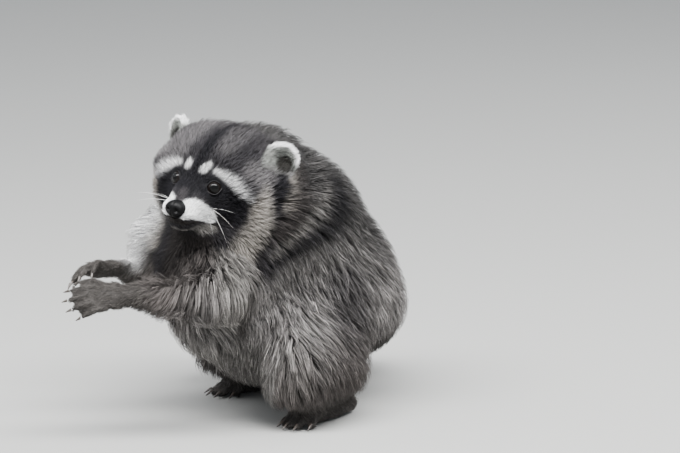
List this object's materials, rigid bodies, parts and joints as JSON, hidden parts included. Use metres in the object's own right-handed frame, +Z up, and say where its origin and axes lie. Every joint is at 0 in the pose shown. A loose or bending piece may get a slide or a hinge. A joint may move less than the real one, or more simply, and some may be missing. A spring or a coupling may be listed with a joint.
{
  "type": "raccoon model",
  "caption": "Life-size still model of an adult raccoon crouched on its hind feet, forepaws reaching forward and head turned to its left.",
  "frame": {"origin": "centre of the bounding box's base, on the floor", "axes": "+X to the animal's left, -Y to its front, where the forepaws reach, and +Z up"},
  "size_m": [0.3022, 0.481, 0.3363],
  "materials": {
    "fur_grey": "long grizzled grey-brown fur with dark tips and pale underfur",
    "fur_dark": "short, flat, near-black fur",
    "fur_pale": "short grey-white fur",
    "eye": "wet, near-black",
    "nose": "moist, pebbled black skin",
    "claw": "smooth dark horn"
  },
  "bodies": {
    "root": {"head": "fur_grey", "lower_jaw": "fur_grey", "neck": "fur_grey", "trunk": "fur_grey", "tail": "fur_grey", "ear_left": "fur_pale", "ear_right": "fur_pale", "eye_left": "eye", "eye_right": "eye", "nose": "nose", "foreleg_left": "fur_grey", "foreleg_right": "fur_grey", "forepaw_left": "fur_dark", "forepaw_right": "fur_dark", "hindleg_left": "fur_grey", "hindleg_right": "fur_grey", "hindpaw_left": "fur_dark", "hindpaw_right": "fur_dark", "forepaw_left_claw_1": "claw", "forepaw_left_claw_2": "claw", "forepaw_left_claw_3": "claw", "forepaw_left_claw_4": "claw", "forepaw_left_claw_5": "claw", "forepaw_right_claw_1": "claw", "forepaw_right_claw_2": "claw", "forepaw_right_claw_3": "claw", "forepaw_right_claw_4": "claw", "forepaw_right_claw_5": "claw", "hindpaw_left_claw_1": "claw", "hindpaw_left_claw_2": "claw", "hindpaw_left_claw_3": "claw", "hindpaw_left_claw_4": "claw", "hindpaw_left_claw_5": "claw", "hindpaw_right_claw_1": "claw", "hindpaw_right_claw_2": "claw", "hindpaw_right_claw_3": "claw", "hindpaw_right_claw_4": "claw", "hindpaw_right_claw_5": "claw"}
  },
  "joints": []
}
